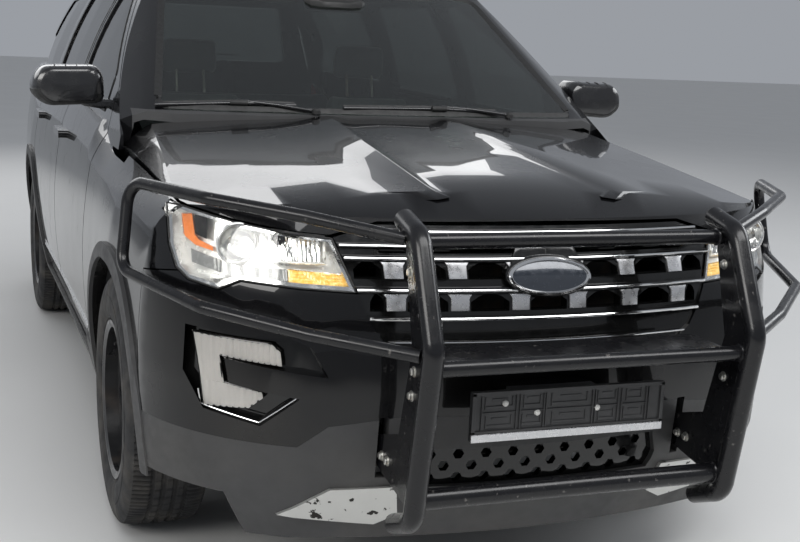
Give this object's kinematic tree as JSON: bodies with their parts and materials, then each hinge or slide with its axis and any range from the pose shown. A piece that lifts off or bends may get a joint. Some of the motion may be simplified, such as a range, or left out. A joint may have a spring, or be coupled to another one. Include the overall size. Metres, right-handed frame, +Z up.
{
  "type": "police suv",
  "caption": "Mid-size patrol SUV with opening doors, hood and tailgate, steered wheels, and a tubular push bar that wraps round the headlamps.",
  "frame": {"origin": "middle of the bounding box on the road surface under the tyres", "axes": "+Z up, the nose faces -Y, +X is the car's left side"},
  "size_m": [2.2762, 5.3051, 1.79],
  "materials": {
    "black_paint": "gloss, light orange peel",
    "black_plastic": "grained, faded",
    "gloss_black": "gloss",
    "bar_coat": "satin powder coat, scuffed",
    "chrome": "bright, lightly pitted",
    "silver_trim": "satin silver, chipped",
    "tinted_glass": "dark tint",
    "clear_glass": "clear",
    "lamp_lens": "clear moulded",
    "red_lens": "red moulded",
    "tyre_rubber": "dusty",
    "wheel_paint": "satin black",
    "chassis": "dull, dusty",
    "exhaust_steel": "heat-dulled",
    "seat_cloth": "woven",
    "dash_plastic": "grained"
  },
  "bodies": {
    "body": {"body_shell": "black_paint", "roof_panel": "black_paint", "front_fenders": "black_paint", "cowl_panel": "black_plastic", "front_bumper": "black_paint", "lower_fascia": "black_plastic", "lip_trims": "silver_trim", "headlamp_lenses": "lamp_lens", "headlamp_bowls": "chrome", "fog_lamps": "lamp_lens", "grille": "gloss_black", "windshield": "clear_glass", "rear_bumper": "black_paint", "tail_lamps": "red_lens", "cladding": "black_plastic", "quarter_glass": "tinted_glass", "front_suspension": "chassis", "rear_suspension": "chassis", "push_bar": "bar_coat", "plate_frame": "black_plastic", "wipers": "black_plastic", "roof_rails": "gloss_black", "engine": "chassis", "front_seats": "seat_cloth", "rear_bench": "seat_cloth", "dashboard": "dash_plastic", "steering_wheel": "dash_plastic", "exhaust": "exhaust_steel", "fuel_tank": "black_plastic", "floor_pan": "black_paint", "front_structure": "black_paint", "wheel_liners": "black_plastic", "grille_bars": "chrome", "fog_bezels": "gloss_black"},
    "hood": {"hood": "black_paint"},
    "tailgate": {"tailgate": "black_paint", "tailgate_glass": "tinted_glass"},
    "front_left_door": {"front_left_door": "black_paint", "front_left_glass": "tinted_glass", "left_mirror": "black_plastic"},
    "front_left_wheel": {"front_left_wheel": "wheel_paint", "front_left_tyre": "tyre_rubber"},
    "front_right_door": {"front_right_door": "black_paint", "front_right_glass": "tinted_glass", "right_mirror": "black_plastic"},
    "front_right_wheel": {"front_right_wheel": "wheel_paint", "front_right_tyre": "tyre_rubber"},
    "rear_left_door": {"rear_left_door": "black_paint", "rear_left_glass": "tinted_glass"},
    "rear_left_wheel": {"rear_left_wheel": "wheel_paint", "rear_left_tyre": "tyre_rubber"},
    "rear_right_door": {"rear_right_door": "black_paint", "rear_right_glass": "tinted_glass"},
    "rear_right_wheel": {"rear_right_wheel": "wheel_paint", "rear_right_tyre": "tyre_rubber"},
    "left_knuckle": {"left_knuckle": "chassis"},
    "right_knuckle": {"right_knuckle": "chassis"}
  },
  "joints": [
    {"name": "hood_hinge", "type": "hinge", "parent": "body", "child": "hood", "pos_m": [0, -1.008, 1.216], "axis": [-1, 0, 0], "range_deg": [0, 50]},
    {"name": "tailgate_hinge", "type": "hinge", "parent": "body", "child": "tailgate", "pos_m": [0, 2.386, 1.722], "axis": [1, 0, 0], "range_deg": [0, 80]},
    {"name": "front_left_door_hinge", "type": "hinge", "parent": "body", "child": "front_left_door", "pos_m": [0.984, -0.79, 0.75], "axis": [0, 0, -1], "range_deg": [0, 65]},
    {"name": "rear_left_door_hinge", "type": "hinge", "parent": "body", "child": "rear_left_door", "pos_m": [0.992, 0.205, 0.75], "axis": [0, 0, -1], "range_deg": [0, 65]},
    {"name": "front_right_door_hinge", "type": "hinge", "parent": "body", "child": "front_right_door", "pos_m": [-0.984, -0.79, 0.75], "axis": [0, 0, 1], "range_deg": [0, 65]},
    {"name": "rear_right_door_hinge", "type": "hinge", "parent": "body", "child": "rear_right_door", "pos_m": [-0.992, 0.205, 0.75], "axis": [0, 0, 1], "range_deg": [0, 65]},
    {"name": "left_steering", "type": "hinge", "parent": "body", "child": "left_knuckle", "pos_m": [0.785, -1.44, 0.3755], "axis": [0, 0, 1], "range_deg": [-34, 34]},
    {"name": "right_steering", "type": "hinge", "parent": "body", "child": "right_knuckle", "pos_m": [-0.785, -1.44, 0.3755], "axis": [0, 0, 1], "range_deg": [-34, 34]},
    {"name": "front_left_wheel_spin", "type": "hinge", "parent": "left_knuckle", "child": "front_left_wheel", "pos_m": [0.851, -1.44, 0.3755], "axis": [1, 0, 0], "continuous": true},
    {"name": "rear_left_wheel_spin", "type": "hinge", "parent": "body", "child": "rear_left_wheel", "pos_m": [0.851, 1.42, 0.3755], "axis": [1, 0, 0], "continuous": true},
    {"name": "front_right_wheel_spin", "type": "hinge", "parent": "right_knuckle", "child": "front_right_wheel", "pos_m": [-0.851, -1.44, 0.3755], "axis": [1, 0, 0], "continuous": true},
    {"name": "rear_right_wheel_spin", "type": "hinge", "parent": "body", "child": "rear_right_wheel", "pos_m": [-0.851, 1.42, 0.3755], "axis": [1, 0, 0], "continuous": true}
  ],
  "couplings": [
    {"joint": "right_steering", "follows": "left_steering", "ratio": 1}
  ]
}
